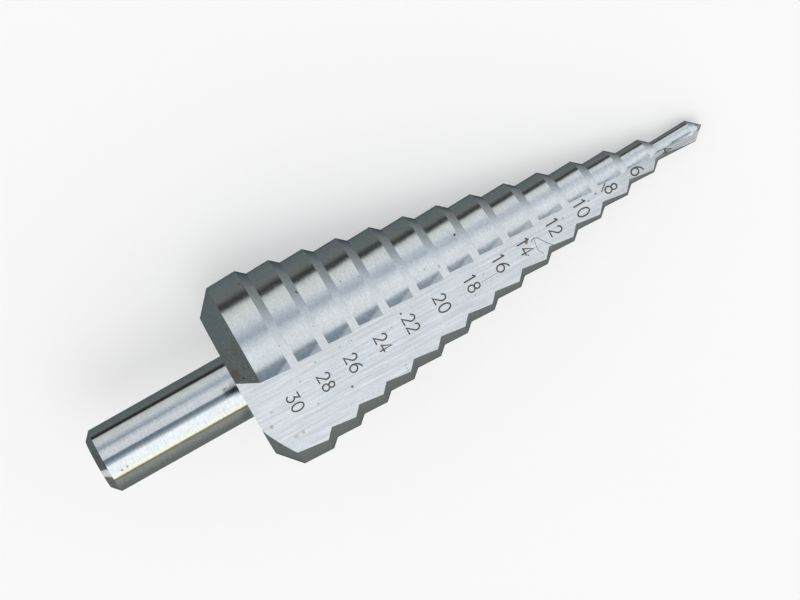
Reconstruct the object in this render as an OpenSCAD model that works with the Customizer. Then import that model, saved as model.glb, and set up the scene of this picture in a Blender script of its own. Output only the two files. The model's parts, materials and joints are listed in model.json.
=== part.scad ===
// Straight-flute step drill bit: a ground conical stack of steps on a plain round shank.
// The drill is modelled along +Z with its point up, then laid down as it comes to rest:
// on the two edges of the flute that faces the table and on the corner of its smallest step.

/* [Steps] */
// Number of cutting steps
step_count = 14; // [6:1:16]
// Diameter of the smallest step, at the point
tip_d = 4; // [3.5:0.25:6]
// Growth in diameter from one step to the next
step_growth = 2; // [1.2:0.1:2.4]
// Distance along the axis from one step's cutting corner to the next
step_pitch = 5; // [4:0.25:7]
// Distance from the cutting corner of the smallest step to that of the next one
tip_step_l = 7; // [5:0.25:12]
// Distance from the back face of the body to the cutting corner of the largest step
back_step_l = 7.9; // [6:0.25:12]
// Slope of the bevel that leads from one step to the next, measured from the axis
bevel_angle = 42; // [36:1:60]
// Slope by which each land narrows towards the shank
land_taper = 2.2; // [0:0.2:3]

/* [Point] */
// Included angle of the point
point_angle = 85; // [80:1:135]
// Thickness of the web between the two flutes at the point
web_t = 0.5; // [0.4:0.05:0.9]

/* [Relief] */
// Offset of the round land from the axis, which clears the land behind its cutting edge
land_offset = 0.27; // [0.05:0.01:0.4]
// Offset of the round bevel from the axis, which clears the bevel behind its cutting lip
bevel_offset = 0.47; // [0.05:0.01:0.6]
// Offset of the point's cone from the axis, which clears the two lips of the point
point_offset = 0.12; // [0:0.01:0.2]

/* [Flutes] */
// Angle at which the floor of a flute rises from the point to the shank
flute_rise = 7; // [5:0.25:8]
// Angle by which the flute turns sideways, which gives the large steps their rake
flute_skew = 2; // [0:0.25:3]
// Angle between the floor of a flute and its cutting wall
flute_angle = 79; // [70:1:90]
// Radius in the corner between the floor and the wall
flute_corner_r = 0.4; // [0.1:0.1:1]

/* [Shank] */
// Diameter of the shank
shank_d = 10; // [6:0.5:13]
// Length of the shank behind the body
shank_l = 23; // [15:1:60]
// Length of the chamfer on the end of the shank
shank_chamfer_l = 1.1; // [0.2:0.1:2]
// Depth of that chamfer
shank_chamfer_h = 1.2; // [0.2:0.1:2]

/* [Back of the body] */
// Depth of the chamfer around the back of the body, measured on the radius
back_chamfer_h = 3.8; // [1:0.1:5]
// Slope of the chamfer around the back of the body, measured from the axis
back_chamfer_angle = 48.5; // [40:0.5:60]

/* [Hidden] */

$fn = 96;
steel = [0.76, 0.79, 0.81];

// A cut or a helper solid runs this far past what it cuts
overrun = 1;

// Places along the axis: 0 is the back face of the body, the point is up.
// Step 0 is the largest, and the last one is the smallest.
last = step_count - 1;
function step_r(k) = tip_d / 2 + (last - k) * step_growth / 2;
function corner_z(k) = back_step_l + min(k, last - 1) * step_pitch + (k == last ? tip_step_l : 0);
apex_z = corner_z(last) + step_r(last) / tan(point_angle / 2);
max_r = step_r(0);

// The flute is a straight groove. Its corner line starts beside the web at the point,
// where the cutting wall passes through the axis, and climbs away towards the shank.
groove_start = [-web_t / 2 / tan(flute_angle), web_t / 2, apex_z];
groove_l = (apex_z + shank_l) / cos(flute_rise) / cos(flute_skew) + overrun;
groove_reach = 2 * max_r;

// Turns a direction of the groove's own section into the drill's frame
function turn_x(v) = [
    v.x,
    v.y * cos(flute_rise) - v.z * sin(flute_rise),
    v.y * sin(flute_rise) + v.z * cos(flute_rise)];
function turn_y(v) = [
    v.x * cos(flute_skew) - v.z * sin(flute_skew),
    v.y,
    v.x * sin(flute_skew) + v.z * cos(flute_skew)];
function groove_dir(v) = turn_y(turn_x(v));
floor_normal = groove_dir([0, 1, 0]);
wall_normal = groove_dir([-sin(flute_angle), -cos(flute_angle), 0]);

// Where a flat of the groove crosses a land at height z. The land is a circle of radius r
// about a centre on the Y axis, and side picks one of the two crossings.
function crossing(normal, z, centre_y, r, side) =
    let (
        n = [normal.x, normal.y] / norm([normal.x, normal.y]),
        level = (normal * groove_start - normal.z * z) / norm([normal.x, normal.y]),
        gap = level - n.y * centre_y,
        half = sqrt(r * r - gap * gap))
    [0, centre_y] + gap * n + side * half * [-n.y, n.x];

// The cutting corner and the heel of step k, both seen from the numbered flute
function cutting_corner(k) =
    crossing(wall_normal, corner_z(k), land_offset, step_r(k) - land_offset, -1);
function heel_corner(k) =
    crossing(floor_normal, corner_z(k), -land_offset, step_r(k) - land_offset, 1);

// The drill rests on the flute opposite the numbered one. The two edges of that flute at
// the largest step and the edge of the smallest step touch the table.
edge_line = heel_corner(0) - cutting_corner(0);
up = [-edge_line.y, edge_line.x] / norm(edge_line) * (edge_line.x < 0 ? -1 : 1);
back_height = cutting_corner(0) * up;
tip_height = max(cutting_corner(last) * up, heel_corner(last) * up);
rest_roll = atan2(up.y, up.x);
rest_tilt = atan((back_height - tip_height) / (corner_z(last) - corner_z(0)));
rest_z = corner_z(0) * sin(rest_tilt) + back_height * cos(rest_tilt);
end_r = shank_d / 2 - shank_chamfer_h;
end_x = min(
    -shank_l * cos(rest_tilt) - end_r * sin(rest_tilt),
    -(shank_l - shank_chamfer_l) * cos(rest_tilt) - shank_d / 2 * sin(rest_tilt));
middle_x = (apex_z * cos(rest_tilt) + end_x) / 2;

// One land of step k: a slightly tapered cylinder off the axis. It starts inside the step
// behind it and runs on past its cutting corner, where the bevel cuts it off.
module step_land(k) {
    r = step_r(k) - land_offset;
    back = corner_z(k) - (k == 0 ? 0 : corner_z(k - 1)) + overrun;
    front = k == last ? step_r(k) / tan(point_angle / 2) : step_growth / tan(bevel_angle);
    translate([0, land_offset, corner_z(k) - back])
        cylinder(h = back + front,
                 r1 = r - back * tan(land_taper),
                 r2 = r + front * tan(land_taper));
}

// The bevel in front of step k: a cone that is off the axis by a little more,
// or by less at the point
module step_bevel(k) {
    is_point = k == last;
    slope = is_point ? point_angle / 2 : bevel_angle;
    off = is_point ? point_offset : bevel_offset;
    r = step_r(k) - off;
    back = back_step_l + tip_step_l + step_pitch;
    translate([0, off, corner_z(k) - back])
        cylinder(h = back + r / tan(slope), r1 = r + back * tan(slope), r2 = 0);
}

// One half of the stepped body, which holds one cutting edge of every step.
// The halves meet on a plane that runs through both flutes.
split_angle = 30;
module half_body() {
    intersection() {
        union() {
            for (k = [0 : last]) {
                intersection() {
                    step_land(k);
                    step_bevel(k);
                }
            }
        }
        rotate([0, 0, split_angle])
            translate([0, -2 * max_r, -2 * overrun])
                cube([2 * max_r, 4 * max_r, apex_z + 4 * overrun]);
    }
}

// The turned blank that both halves stay inside: flat back face and chamfered back edge
module blank() {
    chamfer_h = back_chamfer_h + overrun;
    rotate_extrude()
        polygon([
            [0, 0],
            [max_r - back_chamfer_h, 0],
            [max_r + overrun, chamfer_h / tan(back_chamfer_angle)],
            [max_r + overrun, apex_z + overrun],
            [0, apex_z + overrun]]);
}

module stepped_body() {
    intersection() {
        blank();
        union() {
            half_body();
            rotate([0, 0, 180]) half_body();
        }
    }
}

// Section of a flute: a flat floor, a leaning cutting wall and a round corner between them
module flute_section() {
    tangent = flute_corner_r / tan(flute_angle / 2);
    wall_dir = [-cos(flute_angle), sin(flute_angle)];
    difference() {
        polygon([
            [0, 0],
            groove_reach * wall_dir,
            [-groove_reach, groove_reach * wall_dir.y],
            [-groove_reach, 0]]);
        difference() {
            polygon([
                [0, 0],
                tangent * wall_dir,
                [-tangent, flute_corner_r],
                [-tangent, 0]]);
            translate([-tangent, flute_corner_r])
                circle(r = flute_corner_r);
        }
    }
}

module flute() {
    translate(groove_start)
        rotate([flute_rise, -flute_skew, 0])
            translate([0, 0, -groove_l])
                linear_extrude(groove_l + groove_reach)
                    flute_section();
}

module shank() {
    r = shank_d / 2;
    rotate_extrude()
        polygon([
            [0, -shank_l],
            [r - shank_chamfer_h, -shank_l],
            [r, -shank_l + shank_chamfer_l],
            [r, overrun],
            [0, overrun]]);
}

// The whole drill along +Z, point up, with the numbered flute towards -X and +Y
module upright_drill() {
    difference() {
        stepped_body();
        flute();
        rotate([0, 0, 180]) flute();
    }
    shank();
}

module step_drill() {
    color(steel)
        translate([-middle_x, 0, rest_z])
            rotate([0, 90 + rest_tilt, 0])
                rotate([0, 0, 180 - rest_roll])
                    upright_drill();
}

step_drill();
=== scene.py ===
"""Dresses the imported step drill: ground steel, size numbers, small marks, and a plain studio.

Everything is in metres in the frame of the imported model. Places on the drill are written as they
are measured on it: along its axis from the back face of the stepped body, and then either across
the floor of the numbered flute or by the angle about the axis. Materials count in millimetres.
"""

import json
import math

import bmesh
import bpy
from bpy.props import FloatProperty, FloatVectorProperty, PointerProperty
from bpy.types import Operator, Panel, PropertyGroup
from mathutils import Matrix, Vector
from mathutils.bvhtree import BVHTree


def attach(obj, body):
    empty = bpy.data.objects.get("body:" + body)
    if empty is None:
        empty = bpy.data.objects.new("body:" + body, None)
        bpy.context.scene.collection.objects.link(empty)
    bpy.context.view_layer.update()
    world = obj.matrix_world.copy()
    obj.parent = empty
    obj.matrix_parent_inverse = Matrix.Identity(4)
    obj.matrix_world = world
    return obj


bl_info = {
    "name": "Step drill dressing",
    "version": (1, 0, 0),
    "blender": (4, 5, 0),
    "location": "View3D > Sidebar > Step drill",
    "description": "Ground steel, size numbers, marks and a plain studio for a step drill",
    "category": "Object",
}

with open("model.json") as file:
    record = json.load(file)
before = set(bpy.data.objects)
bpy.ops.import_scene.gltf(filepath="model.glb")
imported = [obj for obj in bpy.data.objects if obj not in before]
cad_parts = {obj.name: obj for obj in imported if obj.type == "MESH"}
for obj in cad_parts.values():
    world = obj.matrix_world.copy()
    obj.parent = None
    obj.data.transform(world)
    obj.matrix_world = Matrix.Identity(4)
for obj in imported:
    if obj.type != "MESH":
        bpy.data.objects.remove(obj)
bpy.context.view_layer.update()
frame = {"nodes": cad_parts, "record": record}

MM = 0.001
BODY = "root"
NODE = "step_drill"

# The shank's mount gives the drill's axis, and lies on it this far behind the body's back face
SHANK = next(m for m in frame["record"]["mounts"] if m["name"] == "shank")
MOUNT_BEHIND_BODY = 11.0 * MM

# How far the drill is turned about its axis as it lies, from level to the floor of its flute
REST_ROLL = math.radians(64.03)

ALONG = -Vector(SHANK["axis"]).normalized()
BACK_FACE = Vector(SHANK["pos_m"]) + MOUNT_BEHIND_BODY * ALONG
LEVEL = Vector((0, 1, 0))
UNDERSIDE = LEVEL.cross(ALONG)
DRILL_X = UNDERSIDE * math.cos(REST_ROLL) + LEVEL * math.sin(REST_ROLL)
DRILL_Y = -UNDERSIDE * math.sin(REST_ROLL) + LEVEL * math.cos(REST_ROLL)

# The flute: its corner line starts beside the web at the point and drops away from the axis
FLUTE_RISE = math.radians(7)
FLUTE_SKEW = math.radians(2)
FLUTE_ANGLE = math.radians(79)
SMALLEST_CORNER_Z = 74.9 * MM
SMALLEST_R = 2 * MM
POINT_SLOPE = math.radians(42.5)
APEX_Z = SMALLEST_CORNER_Z + SMALLEST_R / math.tan(POINT_SLOPE)
WEB_T = 0.5 * MM
# In millimetres: the cutting corner of the largest step, the distance from one corner to the
# next, and where the smallest step starts, which is longer than the others and not worn
FIRST_CORNER_MM = 7.9
STEP_PITCH_MM = 5.0
LAST_STEP_MM = 67.9
STEP_SIZES = range(30, 2, -2)


def to_frame(x, y, z):
    """A place on the upright drill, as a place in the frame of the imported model."""
    return BACK_FACE + DRILL_X * x + DRILL_Y * y + ALONG * z


def turned(x, y, z):
    """A direction of the flute's own section, as a direction in the frame."""
    y, z = (
        y * math.cos(FLUTE_RISE) - z * math.sin(FLUTE_RISE),
        y * math.sin(FLUTE_RISE) + z * math.cos(FLUTE_RISE),
    )
    x, z = (
        x * math.cos(FLUTE_SKEW) - z * math.sin(FLUTE_SKEW),
        x * math.sin(FLUTE_SKEW) + z * math.cos(FLUTE_SKEW),
    )
    return DRILL_X * x + DRILL_Y * y + ALONG * z


FLOOR_NORMAL = turned(0, 1, 0)
WALL_NORMAL = turned(-math.sin(FLUTE_ANGLE), -math.cos(FLUTE_ANGLE), 0)
FLOOR_ACROSS = FLOOR_NORMAL.cross(ALONG).normalized()
FLOOR_ALONG = FLOOR_ACROSS.cross(FLOOR_NORMAL)
FLUTE_START = to_frame(-WEB_T / 2 / math.tan(FLUTE_ANGLE), WEB_T / 2, APEX_Z)


def on_floor(along, across, lift=0.0):
    """The place on the numbered flute's floor at these distances along the drill and across.

    Across is counted from the line that runs straight back along the floor from the flute's start
    at the point, and is negative away from the cutting wall.
    """
    start_along = (FLUTE_START - BACK_FACE).dot(ALONG)
    slope = FLOOR_ALONG.dot(ALONG)
    down = (along - start_along) / slope
    return FLUTE_START + FLOOR_ALONG * down + FLOOR_ACROSS * across + FLOOR_NORMAL * lift


def drill_skin():
    """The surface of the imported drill, for finding places on it."""
    mesh = frame["nodes"][NODE].data
    corners = [v.co.copy() for v in mesh.vertices]
    return BVHTree.FromPolygons(corners, [tuple(face.vertices) for face in mesh.polygons])


SKIN = drill_skin()
OUTSIDE = 20 * MM


def on_skin(along, degrees):
    """The place on the drill's surface at this distance along it and angle about its axis."""
    angle = math.radians(degrees)
    outward = DRILL_X * math.cos(angle) + DRILL_Y * math.sin(angle)
    place = SKIN.ray_cast(BACK_FACE + ALONG * along + outward * OUTSIDE, -outward)[0]
    if place is None:
        raise ValueError(f"The drill has no surface {along / MM:.1f} mm along it")
    return place


class SteelSettings(PropertyGroup):
    steel: FloatVectorProperty(
        name="Steel", description="Colour of the ground steel", subtype="COLOR",
        min=0, max=1, default=(0.86, 0.9, 0.92))
    stain: FloatVectorProperty(
        name="Stain", description="Colour of the oil stain behind the steps", subtype="COLOR",
        min=0, max=1, default=(0.6, 0.5, 0.3))
    # The pit colour also darkens the flutes' round corners and paints the dark reflection on the
    # shank
    pit: FloatVectorProperty(
        name="Pit", description="Colour of the small dark pits", subtype="COLOR",
        min=0, max=1, default=(0.03, 0.024, 0.018))
    rust: FloatVectorProperty(
        name="Rust", description="Colour of the rust specks", subtype="COLOR",
        min=0, max=1, default=(0.19, 0.045, 0.02))
    ochre: FloatVectorProperty(
        name="Ochre", description="Colour of the fresh yellow rust", subtype="COLOR",
        min=0, max=1, default=(0.42, 0.22, 0.07))
    land_roughness: FloatProperty(
        name="Land roughness", description="Roughness of the round ground lands",
        min=0, max=1, default=0.15)
    flute_roughness: FloatProperty(
        name="Flute roughness", description="Roughness of the flutes' floors and walls",
        min=0, max=1, default=0.27)
    land_grain: FloatProperty(
        name="Land grain", description="Depth of the grinding lines around the lands",
        unit="LENGTH", min=0, default=0.0006 * MM)
    flute_grain: FloatProperty(
        name="Flute grain", description="Depth of the grinding lines along the flutes",
        unit="LENGTH", min=0, default=0.002 * MM)


class MarkSettings(PropertyGroup):
    ink: FloatVectorProperty(
        name="Mark", description="Colour of the burnt numbers", subtype="COLOR",
        min=0, max=1, default=(0.1, 0.095, 0.08))
    scratch: FloatVectorProperty(
        name="Scratch", description="Colour of the scratches", subtype="COLOR",
        min=0, max=1, default=(0.19, 0.19, 0.18))
    height: FloatProperty(
        name="Number height", description="Height of a number between its stroke centres",
        unit="LENGTH", min=0, default=1.86 * MM)
    stroke: FloatProperty(
        name="Stroke width", description="Width of a stroke of the numbers",
        unit="LENGTH", min=0, default=0.23 * MM)
    proud: FloatProperty(
        name="Stroke height", description="How far a burnt stroke stands above the floor",
        unit="LENGTH", min=0, default=0.012 * MM)
    first_along: FloatProperty(
        name="First number", description="Place of the largest number along the drill",
        unit="LENGTH", default=6.05 * MM)
    pitch: FloatProperty(
        name="Number pitch", description="Distance between numbers along the drill",
        unit="LENGTH", min=0, default=4.975 * MM)
    first_across: FloatProperty(
        name="First number across", description="Place of the largest number across the floor",
        unit="LENGTH", default=-4.42 * MM)
    across_pitch: FloatProperty(
        name="Shift across", description="Shift across the floor from one number to the next",
        unit="LENGTH", default=0.306 * MM)


class StudioSettings(PropertyGroup):
    floor: FloatVectorProperty(
        name="Floor", description="Colour of the plain floor", subtype="COLOR",
        min=0, max=1, default=(0.96, 0.96, 0.96))
    floor_glow: FloatProperty(
        name="Floor white", description="Share of plain white in what is seen of the floor",
        min=0, max=1, default=0.4)
    floor_size: FloatProperty(
        name="Floor size", description="Side of the square floor", unit="LENGTH", min=0,
        default=4.0)
    lamp_power: FloatProperty(
        name="Lamp power", description="Power of the overhead soft lamp", unit="POWER", min=0,
        default=0.9)
    lamp_size: FloatProperty(
        name="Lamp size", description="Side of the overhead soft lamp", unit="LENGTH", min=0,
        default=0.5)
    lamp_height: FloatProperty(
        name="Lamp height", description="Height of the lamp above the floor", unit="LENGTH",
        min=0, default=0.8)
    distance: FloatProperty(
        name="Camera distance", description="From the camera to the drill", unit="LENGTH",
        min=0, default=496.9 * MM)
    lens: FloatProperty(
        name="Lens", description="Focal length in millimetres", min=1, default=154.88)
    turn: FloatProperty(
        name="Camera turn", description="Direction of the camera about the drill's axis",
        subtype="ANGLE", default=math.radians(79.525))
    lean: FloatProperty(
        name="Camera lean", description="Lean of the camera towards the shank",
        subtype="ANGLE", default=math.radians(2.121))
    roll: FloatProperty(
        name="Camera roll", description="Slope of the drill in the picture",
        subtype="ANGLE", default=math.radians(29.424))
    aim_along: FloatProperty(
        name="Aim along", description="Where the camera looks, along the drill",
        unit="LENGTH", default=26.419 * MM)
    aim_across: FloatProperty(
        name="Aim across", description="Where the camera looks, beside the axis",
        unit="LENGTH", default=0.696 * MM)


class Value:
    """A socket of a shader, with Python's arithmetic."""

    def __init__(self, shader, socket):
        self.shader = shader
        self.socket = socket

    def maths(self, operation, *others):
        return self.shader.node("ShaderNodeMath", {"operation": operation}, self, *others)

    def __add__(self, other):
        return self.maths("ADD", other)

    __radd__ = __add__

    def __sub__(self, other):
        return self.maths("SUBTRACT", other)

    def __rsub__(self, other):
        return self.shader.node("ShaderNodeMath", {"operation": "SUBTRACT"}, other, self)

    def __mul__(self, other):
        return self.maths("MULTIPLY", other)

    __rmul__ = __mul__

    def __truediv__(self, other):
        return self.maths("DIVIDE", other)

    def clamped(self):
        return self.maths("MINIMUM", 1.0).maths("MAXIMUM", 0.0)


class Shader:
    """Builds the nodes of one material or world."""

    def __init__(self, tree):
        self.tree = tree
        tree.nodes.clear()

    def fill(self, socket, value):
        if isinstance(value, Value):
            self.tree.links.new(value.socket, socket)
        elif hasattr(value, "__len__") and len(value) == 3 and socket.type == "RGBA":
            socket.default_value = (*value, 1.0)
        else:
            socket.default_value = value

    def raw(self, kind, settings=None, *values, **named):
        """Adds a node: its settings first, then its sockets in order and by name."""
        made = self.tree.nodes.new(kind)
        for key, value in (settings or {}).items():
            if key == "stops":
                self.stops(made.color_ramp, value)
            else:
                setattr(made, key, value)
        for socket, value in zip(made.inputs, values):
            self.fill(socket, value)
        for key, value in named.items():
            self.fill(made.inputs[key.replace("_", " ")], value)
        return made

    def node(self, kind, settings=None, *values, output=0, **named):
        """Adds a node and gives one of its outputs."""
        return Value(self, self.raw(kind, settings, *values, **named).outputs[output])

    @staticmethod
    def stops(ramp, stops):
        while len(ramp.elements) > 1:
            ramp.elements.remove(ramp.elements[-1])
        for i, (place, colour) in enumerate(stops):
            element = ramp.elements[0] if i == 0 else ramp.elements.new(place)
            element.position = place
            element.color = (*colour, 1.0)

    def dot(self, vector, direction):
        return self.node(
            "ShaderNodeVectorMath", {"operation": "DOT_PRODUCT"}, vector, tuple(direction),
            output="Value")

    def vector(self, x, y, z):
        return self.node("ShaderNodeCombineXYZ", None, x, y, z)

    def noise(self, vector, scale, detail=2.0, roughness=0.5):
        return self.node(
            "ShaderNodeTexNoise", None, Vector=vector, Scale=scale, Detail=detail,
            Roughness=roughness)

    def step(self, value, low, high):
        """Runs smoothly from 0 at low to 1 at high, and back to front if low is the higher."""
        if low > high:
            return 1.0 - self.step(value, high, low)
        return self.node(
            "ShaderNodeMapRange", {"interpolation_type": "SMOOTHSTEP"},
            Value=value, From_Min=low, From_Max=high, To_Min=0.0, To_Max=1.0)

    def mix(self, factor, first, second):
        made = self.raw("ShaderNodeMix", {"data_type": "RGBA"})
        self.fill(made.inputs[0], factor)
        self.fill(made.inputs[6], first)
        self.fill(made.inputs[7], second)
        return Value(self, made.outputs[2])


# Grain of the ragged edges of spots, in repeats a millimetre, and where in radii a spot fades
SPOT_GRAIN = 2.2
SPOT_FADES = (1.2, 0.5)


class DrillPlaces:
    """The drill's own coordinates inside a material, in millimetres."""

    def __init__(self, shader):
        self.shader = shader
        place = shader.node("ShaderNodeTexCoord", output="Object")
        self.place = place
        from_back = shader.node(
            "ShaderNodeVectorMath", {"operation": "SUBTRACT"}, place, tuple(BACK_FACE))
        self.x = shader.dot(from_back, DRILL_X / MM)
        self.y = shader.dot(from_back, DRILL_Y / MM)
        self.along = shader.dot(from_back, ALONG / MM)
        self.normal = shader.node("ShaderNodeNewGeometry", output="True Normal")
        # Runs from about -1 to 1
        self.rough_edge = (shader.noise(place, SPOT_GRAIN / MM, detail=3.0) - 0.5) * 4.0

    def flute(self, direction):
        """Distance along a direction of the numbered flute, or of its twin half a turn away."""
        half = (self.y - self.x).maths("SIGN")
        aside = self.x * direction.dot(DRILL_X) + self.y * direction.dot(DRILL_Y)
        return aside * half + self.along * direction.dot(ALONG)

    def facing(self, direction, cosine):
        """1 where the surface faces that direction, 0 elsewhere."""
        return self.shader.dot(self.normal, direction).maths("GREATER_THAN", cosine)

    def near(self, spot, radius_mm, ragged=0.35):
        """1 in a ragged spot round a place in the frame, which fades to 0 at its edge."""
        gap = self.shader.node(
            "ShaderNodeVectorMath", {"operation": "DISTANCE"}, self.place, tuple(spot),
            output="Value") / MM
        outer, inner = SPOT_FADES
        return self.shader.step(
            gap + self.rough_edge * (radius_mm * ragged), radius_mm * outer, radius_mm * inner)


# Pits and rust specks: place, radius in millimetres, strength and kind
SPECKS = (
    (on_skin(1.4 * MM, 77), 0.3, 0.85, "pit"),
    (on_skin(2.1 * MM, 73), 0.2, 0.6, "pit"),
    (on_skin(2.3 * MM, 70), 0.15, 0.45, "pit"),
    (on_skin(13.8 * MM, 44.6), 0.22, 0.9, "pit"),
    (on_skin(7.3 * MM, 22), 0.2, 0.5, "pit"),
    (on_skin(6.3 * MM, 27.6), 0.16, 0.5, "pit"),
    (on_skin(6.3 * MM, 17.2), 0.15, 0.4, "pit"),
    (on_skin(8.0 * MM, 71.6), 0.15, 0.35, "pit"),
    (on_skin(13.5 * MM, 70.6), 0.14, 0.35, "pit"),
    (on_skin(20.0 * MM, 50.4), 0.14, 0.65, "pit"),
    (on_skin(22.6 * MM, 54.5), 0.13, 0.4, "pit"),
    (on_skin(31.2 * MM, 71.4), 0.14, 0.45, "pit"),
    (on_skin(33.2 * MM, 75.3), 0.3, 0.4, "ochre"),
    (on_skin(37.4 * MM, 56), 0.28, 1.0, "rust"),
    (on_skin(-20.2 * MM, 107.4), 0.2, 0.6, "rust"),
    (on_skin(-19.3 * MM, 106.8), 0.2, 0.6, "rust"),
    (on_skin(-1.9 * MM, 73.8), 0.14, 0.6, "pit"),
    (on_floor(1.4 * MM, -5.7 * MM), 0.34, 0.4, "ochre"),
    (on_floor(5.0 * MM, -8.7 * MM), 0.3, 0.4, "ochre"),
    (on_floor(3.8 * MM, -8.8 * MM), 0.34, 0.3, "ochre"),
    (on_floor(2.4 * MM, -3.9 * MM), 0.2, 0.3, "pit"),
    (on_floor(8.8 * MM, -6.3 * MM), 0.16, 0.35, "pit"),
    (on_floor(8.1 * MM, -2.2 * MM), 0.16, 0.35, "pit"),
    (on_floor(11.3 * MM, -0.9 * MM), 0.16, 0.35, "pit"),
    (on_floor(14.2 * MM, -6.7 * MM), 0.2, 0.75, "pit"),
    (on_floor(15.4 * MM, -0.8 * MM), 0.12, 0.4, "pit"),
    (on_floor(16.9 * MM, -0.8 * MM), 0.13, 0.5, "pit"),
    (on_floor(17.3 * MM, -0.9 * MM), 0.13, 0.5, "pit"),
    (on_floor(22.4 * MM, -8.0 * MM), 0.16, 0.5, "ochre"),
    (on_floor(22.3 * MM, -8.5 * MM), 0.13, 0.4, "ochre"),
    (on_floor(22.3 * MM, -8.9 * MM), 0.16, 0.5, "ochre"),
    (on_floor(23.2 * MM, -2.2 * MM), 0.16, 0.45, "ochre"),
    (on_floor(25.3 * MM, -1.2 * MM), 0.16, 0.8, "pit"),
    (on_floor(36.0 * MM, -4.4 * MM), 0.14, 0.35, "pit"),
    (on_floor(38.5 * MM, -2.4 * MM), 0.14, 0.5, "pit"),
    (on_floor(45.5 * MM, -3.4 * MM), 0.13, 0.8, "pit"),
    (on_floor(46.1 * MM, -1.7 * MM), 0.26, 1.0, "ochre"),
    (on_floor(46.4 * MM, -1.4 * MM), 0.2, 0.8, "ochre"),
    (on_floor(52.5 * MM, -1.3 * MM), 0.18, 0.45, "ochre"),
    (on_floor(57.0 * MM, -1.1 * MM), 0.14, 0.6, "pit"),
    (on_floor(58.4 * MM, -0.7 * MM), 0.16, 0.75, "pit"),
)

# An oil stain on the back chamfer: place, radius in millimetres and strength
STAIN = (on_skin(0.6 * MM, 72.5), 1.1, 0.8)
# Painted dark reflection of the body's back face on the shank where it meets the body: place,
# radius in millimetres and strength
SHANK_PAINTED_REFLECTION = (
    (on_skin(-0.3 * MM, 81.5), 1.3, 0.4),
    (on_skin(-1.6 * MM, 80.5), 0.9, 0.35),
    (on_skin(-0.4 * MM, 82.0), 0.62, 0.75),
    (on_skin(-1.1 * MM, 82.0), 0.48, 0.6),
    (on_skin(-1.7 * MM, 81.2), 0.38, 0.5),
    (on_skin(-0.5 * MM, 126.0), 0.9, 0.22),
    (on_skin(-0.9 * MM, 138.0), 1.0, 0.25),
)

BLACK = (0.0, 0.0, 0.0)
WHITE = (1.0, 1.0, 1.0)

# A face belongs to a flat when its direction is within about 2.5 degrees of the flat's
SAME_FLAT = 0.999
# Faces that look this much backwards are the back face, the back chamfer and the shank's end
BACKWARDS = 0.6

# Grain of the steel, in repeats a millimetre. Rings are fine along the drill and long around
# it, and chatter is coarser. Lines are fine across a flute and long along it.
RING_GRAIN_ALONG = 6.0
RING_GRAIN_AROUND = 0.5
CHATTER_GRAIN_ALONG = 1.6
CHATTER_GRAIN_AROUND = 2.2
LINE_GRAIN_ALONG = 0.08
LINE_GRAIN_ACROSS = 2.8
GRIT_GRAIN = 2.6
CLOUD_GRAIN = 0.28
# How far the grinding lines of a flute's floor turn off the way along it
LINE_SLOPE = 0.045

# How light the steel is, as a share of its colour, and how far each grain changes that
ROUND_TONE = 0.85
FLAT_TONE = 0.83
RING_TONE = 0.25
LINE_TONE = 0.9
CLOUD_TONE = 0.14
ROUND_GRIT_TONE = 0.4
FLAT_GRIT_TONE = 0.2
# How much darker the shank is, and the painted shade on the flutes near the point, which stands
# for their darker reflection there and darkens between two places along the drill in millimetres
SHANK_SHADE = 0.1
POINT_PAINTED_SHADE = 0.2
POINT_PAINTED_SHADE_FROM_TO = (56.0, 74.0)

# How far the grain changes the roughness, and how much smoother or rougher some places are
CHATTER_ROUGHNESS = 0.1
LINE_ROUGHNESS = 0.2
SHANK_SMOOTHNESS = 0.06
SPECK_ROUGHNESS = 0.3
WORN_ROUGHNESS = 0.14
# The chatter is this many times as deep as the rings
CHATTER_DEPTH = 4
# How far rust takes away the metal's shine
RUST_DULLS = 0.7

# Darkening along the round corners of the flutes, in millimetres: where it fades across the floor
# and up from it, and where it comes up along the drill
CORNER_ACROSS = (0.7, 0.5)
CORNER_UP = (0.6, 0.4)
CORNER_ALONG = (50.0, 58.0)
CORNER_DARKENING = 0.55

# The worn corner of a land is a wedge beside its cutting edge. In millimetres: where it fades
# behind the cutting wall, how much narrower it gets over one step, and where the wall ends it
WORN_EDGE = (1.4, 0.8)
WORN_TAPER = 2.6
WORN_END = (-0.3, -0.1)


def flat_faces(at):
    """1 on the floors and cutting walls of both flutes, 0 on the round parts."""
    opposite = Matrix.Rotation(math.pi, 3, ALONG)
    flat = 0.0
    for normal in (FLOOR_NORMAL, WALL_NORMAL):
        flat = at.facing(normal, SAME_FLAT) + at.facing(opposite @ normal, SAME_FLAT) + flat
    return flat.clamped()


def from_start(direction):
    """How far the flute's start lies from the back face in a direction, in millimetres."""
    return (FLUTE_START - BACK_FACE).dot(direction) / MM


def worn_corners(sh, at, round_body):
    """1 on the front corner of each land, which is worn dull beside its cutting edge."""
    from_wall = from_start(WALL_NORMAL) - at.flute(WALL_NORMAL)
    from_corner = ((FIRST_CORNER_MM - at.along) / STEP_PITCH_MM).maths("FRACT")
    worn = sh.step(from_wall + from_corner * WORN_TAPER, *WORN_EDGE)
    worn = worn * sh.step(from_wall, *WORN_END) * round_body
    return worn * at.along.maths("LESS_THAN", LAST_STEP_MM)


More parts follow.
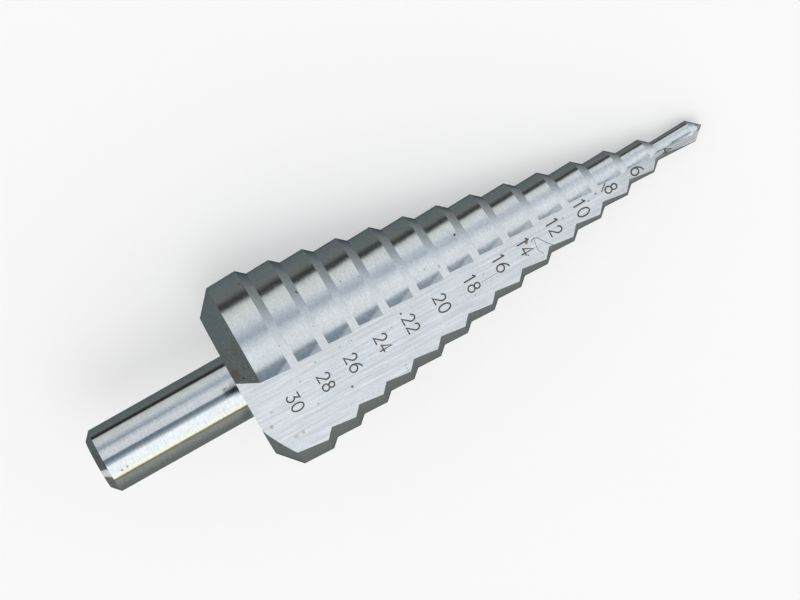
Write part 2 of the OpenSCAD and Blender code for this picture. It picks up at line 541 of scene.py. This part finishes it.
def ground_steel(settings):
    """Bright ground tool steel: rings on the round parts, straight lines along the flutes."""
    material = bpy.data.materials.new("ground_steel")
    material.use_nodes = True
    sh = Shader(material.node_tree)
    at = DrillPlaces(sh)
    flat = flat_faces(at)
    shank = at.along.maths("LESS_THAN", 0.0)
    back = at.facing(-ALONG, BACKWARDS)

    rings = sh.noise(
        sh.vector(at.along * RING_GRAIN_ALONG, at.x * RING_GRAIN_AROUND,
                  at.y * RING_GRAIN_AROUND), scale=1.0, detail=4.0, roughness=0.6)
    chatter = sh.noise(
        sh.vector(at.along * CHATTER_GRAIN_ALONG, at.x * CHATTER_GRAIN_AROUND,
                  at.y * CHATTER_GRAIN_AROUND), scale=1.0, detail=4.0, roughness=0.6)
    across = at.flute(FLOOR_ACROSS) - from_start(FLOOR_ACROSS)
    lift = at.flute(FLOOR_NORMAL) - from_start(FLOOR_NORMAL)
    down = at.flute(FLOOR_ALONG)
    lines = sh.noise(
        sh.vector((across + down * LINE_SLOPE) * LINE_GRAIN_ACROSS, down * LINE_GRAIN_ALONG,
                  lift * LINE_GRAIN_ACROSS), scale=1.0, detail=5.0, roughness=0.7)
    whole = sh.vector(at.x, at.y, at.along)
    grit = sh.noise(whole, GRIT_GRAIN, detail=4.0, roughness=0.65) - 0.5
    cloud = sh.noise(whole, CLOUD_GRAIN, detail=3.0, roughness=0.55)

    # The colour: even steel with its grain and the painted shade near the point, then the stain,
    # the darkening in the flutes' corners, the painted reflection on the shank and the specks
    cloudy = (cloud - 0.5) * CLOUD_TONE
    uneven = cloudy + grit * ROUND_GRIT_TONE
    round_tone = ROUND_TONE + (rings - 0.5) * RING_TONE - shank * SHANK_SHADE
    round_tone = round_tone + uneven + back * uneven
    flat_tone = FLAT_TONE + (lines - 0.5) * LINE_TONE + cloudy + grit * FLAT_GRIT_TONE
    # Painted shade: the flutes darken towards the point, standing for the darker reflection they
    # show there
    flat_tone = flat_tone - sh.step(at.along, *POINT_PAINTED_SHADE_FROM_TO) * POINT_PAINTED_SHADE
    tone = (round_tone + flat * (flat_tone - round_tone)).clamped()
    colour = sh.mix(tone, BLACK, settings.steel)
    place, radius, strength = STAIN
    stain = at.near(place, radius, ragged=0.3) * (cloud * 1.4).clamped() * strength
    colour = sh.mix(stain, colour, settings.stain)

    # The round corners of the flutes turn darker towards the point, in the pit colour
    corner = sh.step(across.maths("ABSOLUTE"), *CORNER_ACROSS) * sh.step(lift, *CORNER_UP)
    corner = corner * (1.0 - flat) * sh.step(at.along, *CORNER_ALONG)
    colour = sh.mix(corner * CORNER_DARKENING, colour, settings.pit)
    # Painted reflection: dark patches on the shank beside the body, in the pit colour, stand for
    # the body's back face mirrored in it
    for place, radius, strength in SHANK_PAINTED_REFLECTION:
        painted_reflection = at.near(place, radius, ragged=0.14) * strength
        colour = sh.mix(painted_reflection, colour, settings.pit)
    specks = 0.0
    rusty = 0.0
    for place, radius, strength, kind in SPECKS:
        speck = at.near(place, radius) * strength
        colour = sh.mix(speck, colour, getattr(settings, kind))
        specks = speck + specks
        if kind != "pit":
            rusty = speck + rusty
    specks = specks.clamped()
    rusty = rusty.clamped()

    worn = worn_corners(sh, at, (1.0 - flat) * (1.0 - shank) * (1.0 - back))
    roughness = settings.land_roughness + (chatter - 0.5) * CHATTER_ROUGHNESS
    roughness = roughness - shank * SHANK_SMOOTHNESS
    flute_roughness = settings.flute_roughness + (lines - 0.5) * LINE_ROUGHNESS
    roughness = roughness + flat * (flute_roughness - roughness)
    roughness = roughness + specks * SPECK_ROUGHNESS + worn * WORN_ROUGHNESS

    chatter_depth = settings.land_grain * CHATTER_DEPTH
    ring_depth = rings * settings.land_grain + chatter * chatter_depth
    depth = ring_depth + flat * (lines * settings.flute_grain - ring_depth)
    relief = sh.node("ShaderNodeBump", None, Strength=1.0, Distance=1.0, Height=depth)
    steel = sh.raw(
        "ShaderNodeBsdfPrincipled", None, Base_Color=colour, Roughness=roughness,
        Metallic=1.0 - rusty * RUST_DULLS, Normal=relief)
    end = sh.raw("ShaderNodeOutputMaterial")
    sh.tree.links.new(steel.outputs[0], end.inputs["Surface"])
    return material


# A mark's finish: grain in repeats a millimetre, colour of its worn patches, and where in the
# grain those start and are full
MARK_GRAIN = 2.6
WORN_MARK = (0.3, 0.3, 0.28)
WORN_MARK_PATCHES = (0.5, 0.72)
MARK_ROUGHNESS = 0.55
MARK_UNEVEN_ROUGHNESS = 0.3
MARK_METALLIC = 0.3
# How far numbers and scratches are worn
NUMBER_WEAR = 0.5
SCRATCH_WEAR = 0.25


def burnt_mark(name, ink, wear):
    """The dark, slightly brown burn of a marking tool, uneven along its strokes."""
    material = bpy.data.materials.new(name)
    material.use_nodes = True
    sh = Shader(material.node_tree)
    at = DrillPlaces(sh)
    patch = sh.noise(at.place, MARK_GRAIN / MM, detail=3.0, roughness=0.6)
    colour = sh.mix(sh.step(patch, *WORN_MARK_PATCHES) * wear, ink, WORN_MARK)
    roughness = MARK_ROUGHNESS + (patch - 0.5) * MARK_UNEVEN_ROUGHNESS
    burn = sh.raw(
        "ShaderNodeBsdfPrincipled", None, Base_Color=colour, Roughness=roughness,
        Metallic=MARK_METALLIC)
    end = sh.raw("ShaderNodeOutputMaterial")
    sh.tree.links.new(burn.outputs[0], end.inputs["Surface"])
    return material


def arc(centre_x, centre_y, radius_x, radius_y, start, end, count=14):
    """Points of an elliptical arc between two angles in degrees."""
    points = []
    for i in range(count + 1):
        angle = math.radians(start + (end - start) * i / count)
        x = centre_x + radius_x * math.cos(angle)
        y = centre_y + radius_y * math.sin(angle)
        points.append((x, y))
    return points


# Strokes of the digits in a cell one wide and one high, from the foot up
DIGITS = {
    "0": (arc(0.5, 0.5, 0.5, 0.5, 90, 450, 28),),
    "1": ([(0.5, 0), (0.5, 1)], [(0.5, 1), (0.0, 0.83)]),
    "2": (arc(0.5, 0.7, 0.46, 0.3, 165, -35) + [(0.0, 0.0), (1.0, 0.0)],),
    "3": ([(0.1, 1), (0.9, 1), (0.5, 0.62)] + arc(0.46, 0.31, 0.5, 0.31, 80, -150),),
    "4": ([(0.68, 0), (0.68, 1), (0.0, 0.28), (1.0, 0.28)],),
    "6": (arc(0.5, 0.31, 0.5, 0.31, 90, 450, 22), arc(0.95, 0.31, 0.95, 0.69, 180, 100)),
    "8": (arc(0.5, 0.27, 0.5, 0.27, 90, 450, 22), arc(0.5, 0.77, 0.41, 0.23, 90, 450, 20)),
}
# Widths of the digits and the gap between two, as shares of their height
DIGIT_WIDTHS = {"0": 0.58, "1": 0.36, "2": 0.53, "3": 0.55, "4": 0.55, "6": 0.58, "8": 0.54}
DIGIT_GAP = 0.25

# The numbers were burnt by hand: how far each one sits off its even place along the drill
# and across the floor, in millimetres
SLIPS = {28: (0.28, -0.02), 24: (0.12, 0.0), 20: (0.35, -0.1), 18: (0.5, -0.2), 16: (0.55, -0.11),
         14: (-0.18, -0.17), 12: (-0.05, -0.14), 10: (-0.2, -0.19), 8: (0.0, -0.1),
         6: (-0.38, -0.12), 4: (-0.05, -0.12)}
# The 4 is smaller than the other numbers
SMALLEST_NUMBER = 0.72

# A line whose ends are nearer than this is closed
SAME_PLACE = MM / 1000
# Sides of a stroke's section
STROKE_SIDES = 8
# A stroke widens where it turns, up to half a turn with this cosine
SHARPEST_TURN = 0.55
# The rounding of a stroke's ends: places along it and widths there, in half widths
ROUND_START = ((-0.9, 0.35), (-0.5, 0.8))
ROUND_END = ((0.5, 0.8), (0.9, 0.35))


def stroke(bm, points, closed, half_width, proud, place):
    """A low rounded ridge along a line of flat points, sunk by half into the surface."""
    count = len(points)
    rings = []
    for i, point in enumerate(points):
        before = points[i - 1] if i or closed else point
        after = points[(i + 1) % count] if i < count - 1 or closed else point
        first = (Vector(point) - Vector(before)).normalized()
        second = (Vector(after) - Vector(point)).normalized()
        heading = (first + second).normalized()
        side = Vector((-heading.y, heading.x))
        straight = second if second.length else first
        stations = [(0.0, 1 / max(SHARPEST_TURN, abs(heading.dot(straight))))]
        if not closed and i == 0:
            stations = [*ROUND_START, *stations]
        elif not closed and i == count - 1:
            stations = [*stations, *ROUND_END]
        for shift, width in stations:
            middle = Vector(point) + heading * (shift * half_width)
            ring = []
            for corner in range(STROKE_SIDES):
                angle = math.tau * corner / STROKE_SIDES
                out = middle + side * (math.cos(angle) * half_width * width)
                lift = math.sin(angle) * proud * min(1.0, width)
                ring.append(bm.verts.new(place(out.x, out.y, lift)))
            rings.append(ring)
    spans = len(rings) if closed else len(rings) - 1
    for i in range(spans):
        here, there = rings[i], rings[(i + 1) % len(rings)]
        for corner in range(STROKE_SIDES):
            nearby = (corner + 1) % STROKE_SIDES
            bm.faces.new((here[corner], there[corner], there[nearby], here[nearby]))
    if not closed:
        bm.faces.new(rings[0])
        bm.faces.new(list(reversed(rings[-1])))


def finished_piece(bm, name, material):
    """Turns the mesh into a piece that rides on the drill."""
    bmesh.ops.recalc_face_normals(bm, faces=bm.faces)
    mesh = bpy.data.meshes.new(name)
    bm.to_mesh(mesh)
    bm.free()
    for face in mesh.polygons:
        face.use_smooth = True
    mesh.materials.append(material)
    piece = bpy.data.objects.new(name, mesh)
    bpy.context.scene.collection.objects.link(piece)
    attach(piece, BODY)
    return piece


class STEPDRILL_OT_ground_steel(Operator):
    """Give the drill its ground steel"""

    bl_idname = "step_drill.ground_steel"
    bl_label = "Ground steel"

    def execute(self, context):
        drill = frame["nodes"][NODE]
        drill.material_slots[0].material = ground_steel(context.scene.drill_steel)
        return {"FINISHED"}


class STEPDRILL_OT_size_numbers(Operator):
    """Burn the size of each step into the floor of the upper flute"""

    bl_idname = "step_drill.size_numbers"
    bl_label = "Size numbers"

    def execute(self, context):
        marks = context.scene.drill_marks
        bm = bmesh.new()
        for k, size in enumerate(STEP_SIZES):
            slip_along, slip_across = SLIPS.get(size, (0.0, 0.0))
            along = marks.first_along + marks.pitch * k + slip_along * MM
            across = marks.first_across + marks.across_pitch * k + slip_across * MM
            height = marks.height * (SMALLEST_NUMBER if size == STEP_SIZES[-1] else 1.0)
            self.number(bm, str(size), along, across, height, marks)
        finished_piece(bm, "size_numbers", burnt_mark("burnt_mark", marks.ink, NUMBER_WEAR))
        return {"FINISHED"}

    def number(self, bm, text, along, across, height, marks):
        """Burns one number, which reads across the floor, away from the cutting edge."""
        widths = [DIGIT_WIDTHS[digit] for digit in text]
        full = sum(widths) + DIGIT_GAP * (len(text) - 1)

        def place(x, y, lift):
            return on_floor(along + y - height / 2, across - x + full * height / 2, lift)

        left = 0.0
        for digit, width in zip(text, widths):
            for line in DIGITS[digit]:
                points = [((x * width + left) * height, y * height) for x, y in line]
                closed = (Vector(points[0]) - Vector(points[-1])).length < SAME_PLACE
                if closed:
                    points.pop()
                stroke(bm, points, closed, marks.stroke / 2, marks.proud, place)
            left += width + DIGIT_GAP


# A curved scratch by the number 14 and a slip of the marking tool by the number 8,
# as distances along the drill and across the floor in millimetres
SCRATCHES = (
    (((46.8, -1.97), (47.0, -1.72), (47.37, -1.62), (47.75, -1.75), (47.96, -1.99),
      (48.35, -2.6), (48.71, -3.18), (49.05, -3.55), (49.46, -4.07)), 0.1),
    (((47.37, -1.62), (47.2, -2.5), (47.12, -3.44), (47.57, -4.33)), 0.08),
    (((59.38, -0.82), (59.85, -0.45), (60.32, -0.11)), 0.2),
    (((37.6, -3.27), (39.0, -3.3), (40.4, -3.31)), 0.07),
)


class STEPDRILL_OT_scratches(Operator):
    """Draw the hand marks on the floor of the upper flute"""

    bl_idname = "step_drill.scratches"
    bl_label = "Scratches"

    def execute(self, context):
        marks = context.scene.drill_marks
        bm = bmesh.new()
        for line, width in SCRATCHES:
            points = [(along * MM, across * MM) for along, across in line]
            stroke(bm, points, False, width * MM / 2, marks.proud, on_floor)
        material = burnt_mark("scratched_mark", marks.scratch, SCRATCH_WEAR)
        finished_piece(bm, "scratches", material)
        return {"FINISHED"}


# The light tent round the drill, by the angle about its axis from the camera's side in degrees.
# Its bright strips and dark gaps run along the drill, so the round lands show them as bands.
TENT = (
    (-180, (0.04, 0.055, 0.06)),
    (-163, (0.11, 0.135, 0.145)),
    (-135, (0.14, 0.165, 0.17)),
    (-110, (0.17, 0.18, 0.172)),
    (-105, (0.1, 0.1, 0.098)),
    (-100, (0.03, 0.03, 0.03)),
    (-91, (0.022, 0.022, 0.024)),
    (-88, (0.6, 0.63, 0.62)),
    (-78, (0.78, 0.79, 0.75)),
    (-60, (0.77, 0.8, 0.83)),
    (-50, (0.52, 0.57, 0.63)),
    (-42, (0.36, 0.41, 0.46)),
    (-36, (0.65, 0.69, 0.75)),
    (-24, (0.91, 0.93, 0.955)),
    (-8, (0.85, 0.875, 0.91)),
    (17, (0.86, 0.88, 0.92)),
    (24, (0.98, 1.0, 1.03)),
    (54, (0.96, 0.98, 1.0)),
    (60, (1.05, 1.04, 0.89)),
    (71, (1.05, 1.02, 0.8)),
    (74.5, (0.34, 0.28, 0.18)),
    (77, (0.19, 0.16, 0.12)),
    (80, (0.3, 0.285, 0.24)),
    (84, (0.36, 0.365, 0.33)),
    (100, (0.31, 0.325, 0.3)),
    (120, (0.21, 0.22, 0.205)),
    (163, (0.15, 0.165, 0.16)),
    (180, (0.04, 0.055, 0.06)),
)
# From here on, "ahead" is how nearly a direction runs along the axis: 0 is straight across it,
# 1 is straight towards the point and -1 towards the shank. A pair of numbers gives where a mask
# starts and where it is full.

# The edges of the strips lean round the drill towards the point. The lean starts from what the
# largest land mirrors, is held within two limits, and is given in degrees for each 1 ahead.
LEAN_START = -0.073
LEAN_LIMITS = (-0.03, 0.12)
STRIP_LEAN = 75.0
STRIP_LEAN_ANGLES = (-60.0, -75.0)
GAP_LEAN = 30.0

# A dark gap in the tent beside the camera, between two angles, and how it closes ahead
GAP = (0.19, 0.24, 0.29)
GAP_STARTS = (-5.5, -1.5)
GAP_ENDS = (28.0, 5.0)
GAP_CLOSES = (0.16, 0.08)
GAP_PALES = (-0.05, 0.07)
GAP_PALING = 0.28
# A second, faint gap that is one of the strips in TENT, and how it closes ahead
FAINT_GAP_STARTS = (-55.0, -45.0)
FAINT_GAP_ENDS = (-30.0, -36.0)
FAINT_GAP_PALES = (-0.07, 0.05)
FAINT_GAP_PALING = 0.7
# What both gaps pale to
CLOSED_GAP = (0.84, 0.87, 0.92)

# How much brighter the pale strip between two angles is straight across the drill
GLARE = 0.36
GLARE_STARTS = (14.0, 26.0)
GLARE_ENDS = (78.0, 74.0)
GLARE_FADES = (0.2, 0.1)

# In front of the point the tent is closed by a round end, whose colours are written by ahead.
# On the camera's side the strips come back through a part of it, for lands seen from behind.
FRONT_CLOSES = (0.37, 0.58)
STRIPS_RETURN = (0.58, 0.68)
STRIPS_STOP = (0.93, 0.88)
STRIPS_SIDE = (-0.02, 0.1)
FRONT_END = (
    (0.4, (0.17, 0.18, 0.19)),
    (0.62, (0.21, 0.225, 0.235)),
    (0.78, (0.33, 0.37, 0.375)),
    (0.9, (0.52, 0.56, 0.6)),
    (0.96, (0.74, 0.78, 0.82)),
    (0.99, (0.88, 0.89, 0.91)),
)
# The end behind the shank is dark, and paler on the camera's side
REAR_CLOSES = (-0.75, -0.95)
REAR_END = (0.125, 0.132, 0.13)
REAR_UPPER = (0.5, 0.53, 0.55)
REAR_SIDE = (-0.08, 0.12)
# A small bright opening in the rear end, which glints on the shank's chamfer: its colour, its
# direction towards the camera, beside it and along the drill, and the cosines at its edge
REAR_OPENING = (0.9, 0.89, 0.86)
OPENING_DIRECTION = (-0.29, 0.295, -0.91)
OPENING_EDGE = (0.988, 0.995)

# The brightest strip of the tent, which scales its colours into a ramp
TENT_TOP = 1.1
# Light on the plain floor, which has no strips
PLAIN_LIGHT = (0.85, 0.85, 0.85)


def light_tent(settings):
    """A world of soft strips round the drill, closed by a pale end in front of its point."""
    world = bpy.data.worlds.new("light_tent")
    world.use_nodes = True
    sh = Shader(world.node_tree)
    direction = sh.node("ShaderNodeTexCoord", output="Generated")
    facing = DRILL_X * math.cos(settings.turn) + DRILL_Y * math.sin(settings.turn)
    beside = ALONG.cross(facing)
    angle = sh.dot(direction, beside).maths("ARCTAN2", sh.dot(direction, facing))
    ahead = sh.dot(direction, ALONG)

    def scaled(colour):
        return tuple(part / TENT_TOP for part in colour)

    # The strips and their two gaps
    degrees = angle * (180 / math.pi)
    least, most = LEAN_LIMITS
    drift = (ahead - LEAN_START).maths("MINIMUM", most).maths("MAXIMUM", least)
    leaning = degrees - drift * STRIP_LEAN * sh.step(degrees, *STRIP_LEAN_ANGLES)
    strips = [((place + 180) / 360, scaled(colour)) for place, colour in TENT]
    tent = sh.node("ShaderNodeValToRGB", {"stops": strips}, leaning / 360 + 0.5)
    faint = sh.step(degrees, *FAINT_GAP_STARTS) * sh.step(degrees, *FAINT_GAP_ENDS)
    faint = faint * sh.step(ahead, *FAINT_GAP_PALES) * FAINT_GAP_PALING
    tent = sh.mix(faint, tent, scaled(CLOSED_GAP))
    gap = sh.step(degrees - drift * GAP_LEAN, *GAP_STARTS) * sh.step(degrees, *GAP_ENDS)
    gap = gap * sh.step(ahead, *GAP_CLOSES)
    paling = sh.step(ahead, *GAP_PALES) * GAP_PALING
    tent = sh.mix(gap, tent, sh.mix(paling, scaled(GAP), scaled(CLOSED_GAP)))

    # The two ends
    ends = [(place, scaled(colour)) for place, colour in FRONT_END]
    front = sh.node("ShaderNodeValToRGB", {"stops": ends}, ahead)
    camera_side = sh.dot(direction, facing)
    open_again = sh.step(ahead, *STRIPS_RETURN) * sh.step(ahead, *STRIPS_STOP)
    open_again = open_again * sh.step(camera_side, *STRIPS_SIDE)
    tent = sh.mix(sh.step(ahead, *FRONT_CLOSES) * (1.0 - open_again), tent, front)
    rear = sh.mix(sh.step(camera_side, *REAR_SIDE), scaled(REAR_END), scaled(REAR_UPPER))
    tent = sh.mix(sh.step(ahead, *REAR_CLOSES), tent, rear)
    to_camera, to_side, along = OPENING_DIRECTION
    opening = (facing * to_camera + beside * to_side + ALONG * along).normalized()
    glint = sh.step(sh.dot(direction, opening), *OPENING_EDGE)
    tent = sh.mix(glint, tent, scaled(REAR_OPENING))

    matt = sh.node("ShaderNodeLightPath", output="Is Diffuse Ray")
    tent = sh.mix(matt, tent, scaled(PLAIN_LIGHT))
    glare = sh.step(degrees, *GLARE_STARTS) * sh.step(degrees, *GLARE_ENDS)
    glare = glare * sh.step(ahead.maths("ABSOLUTE"), *GLARE_FADES) * (1.0 - matt)
    strength = TENT_TOP * (1.0 + glare * GLARE)
    light = sh.raw("ShaderNodeBackground", None, Color=tent, Strength=strength)
    end = sh.raw("ShaderNodeOutputWorld")
    sh.tree.links.new(light.outputs[0], end.inputs["Surface"])
    world.cycles.sampling_method = "NONE"
    bpy.context.scene.world = world


# The floor's finish: grain in repeats a metre, lightness and how far the grain changes it
FLOOR_GRAIN = 30.0
FLOOR_TONE = 0.99
FLOOR_UNEVEN_TONE = 0.01
FLOOR_ROUGHNESS = 0.9


def pale_floor(settings):
    """A plain matt floor with the faintest unevenness."""
    material = bpy.data.materials.new("pale_floor")
    material.use_nodes = True
    sh = Shader(material.node_tree)
    place = sh.node("ShaderNodeTexCoord", output="Object")
    tone = FLOOR_TONE + (sh.noise(place, FLOOR_GRAIN) - 0.5) * FLOOR_UNEVEN_TONE
    colour = sh.mix(tone, BLACK, settings.floor)
    matt = sh.raw(
        "ShaderNodeBsdfPrincipled", None, Base_Color=colour, Roughness=FLOOR_ROUGHNESS)
    white = sh.raw("ShaderNodeEmission", None, Color=WHITE, Strength=1.0)
    seen = sum(
        sh.node("ShaderNodeLightPath", output=ray)
        for ray in ("Is Camera Ray", "Is Glossy Ray", "Is Transmission Ray"))
    mixed = sh.raw("ShaderNodeMixShader", None, Fac=seen.clamped() * settings.floor_glow)
    sh.tree.links.new(matt.outputs[0], mixed.inputs[1])
    sh.tree.links.new(white.outputs[0], mixed.inputs[2])
    end = sh.raw("ShaderNodeOutputMaterial")
    sh.tree.links.new(mixed.outputs[0], end.inputs["Surface"])
    return material


# The camera's sensor width in millimetres, and the nearest that it sees
SENSOR_WIDTH = 36
NEAREST = 10 * MM


class STEPDRILL_OT_studio(Operator):
    """Set up the pale floor, the soft light and the camera"""

    bl_idname = "step_drill.studio"
    bl_label = "Studio"

    def execute(self, context):
        studio = context.scene.drill_studio
        self.floor(studio)
        self.lamp(studio)
        self.camera(context, studio)
        light_tent(studio)
        context.scene.view_settings.view_transform = "Standard"
        return {"FINISHED"}

    def floor(self, studio):
        bm = bmesh.new()
        bmesh.ops.create_grid(bm, x_segments=4, y_segments=4, size=studio.floor_size / 2)
        mesh = bpy.data.meshes.new("floor")
        bm.to_mesh(mesh)
        bm.free()
        mesh.materials.append(pale_floor(studio))
        floor = bpy.data.objects.new("floor", mesh)
        # The steel shows the light tent and not the floor
        floor.visible_glossy = False
        bpy.context.scene.collection.objects.link(floor)

    def lamp(self, studio):
        data = bpy.data.lights.new("soft_lamp", "AREA")
        data.energy = studio.lamp_power
        data.shape = "SQUARE"
        data.size = studio.lamp_size
        lamp = bpy.data.objects.new("soft_lamp", data)
        lamp.location = (0, 0, studio.lamp_height)
        lamp.visible_glossy = False
        bpy.context.scene.collection.objects.link(lamp)

    def camera(self, context, studio):
        facing = DRILL_X * math.cos(studio.turn) + DRILL_Y * math.sin(studio.turn)
        back = facing * math.cos(studio.lean) - ALONG * math.sin(studio.lean)
        up_drill = ALONG * math.cos(studio.lean) + facing * math.sin(studio.lean)
        beside = up_drill.cross(back)
        right = up_drill * math.cos(studio.roll) + beside * math.sin(studio.roll)
        up = up_drill * math.sin(studio.roll) - beside * math.cos(studio.roll)
        aim = BACK_FACE + ALONG * studio.aim_along + beside * studio.aim_across
        data = bpy.data.cameras.new("camera")
        data.lens = studio.lens
        data.sensor_width = SENSOR_WIDTH
        data.clip_start = NEAREST
        camera = bpy.data.objects.new("camera", data)
        turn = Matrix((right, up, back)).transposed().to_4x4()
        camera.matrix_world = Matrix.Translation(aim + back * studio.distance) @ turn
        context.scene.collection.objects.link(camera)
        context.scene.camera = camera


OPERATORS = (
    STEPDRILL_OT_ground_steel,
    STEPDRILL_OT_size_numbers,
    STEPDRILL_OT_scratches,
    STEPDRILL_OT_studio,
)


class STEPDRILL_PT_dressing(Panel):
    """Lists the steps that dress the drill"""

    bl_label = "Step drill"
    bl_space_type = "VIEW_3D"
    bl_region_type = "UI"
    bl_category = "Step drill"

    def draw(self, context):
        for operator in OPERATORS:
            self.layout.operator(operator.bl_idname)


CLASSES = (SteelSettings, MarkSettings, StudioSettings, *OPERATORS, STEPDRILL_PT_dressing)


def register():
    for cls in CLASSES:
        bpy.utils.register_class(cls)
    bpy.types.Scene.drill_steel = PointerProperty(type=SteelSettings)
    bpy.types.Scene.drill_marks = PointerProperty(type=MarkSettings)
    bpy.types.Scene.drill_studio = PointerProperty(type=StudioSettings)


def unregister():
    del bpy.types.Scene.drill_studio
    del bpy.types.Scene.drill_marks
    del bpy.types.Scene.drill_steel
    for cls in reversed(CLASSES):
        bpy.utils.unregister_class(cls)


def main():
    register()
    bpy.ops.step_drill.ground_steel()
    bpy.ops.step_drill.size_numbers()
    bpy.ops.step_drill.scratches()
    bpy.ops.step_drill.studio()


if __name__ == "__main__":
    main()
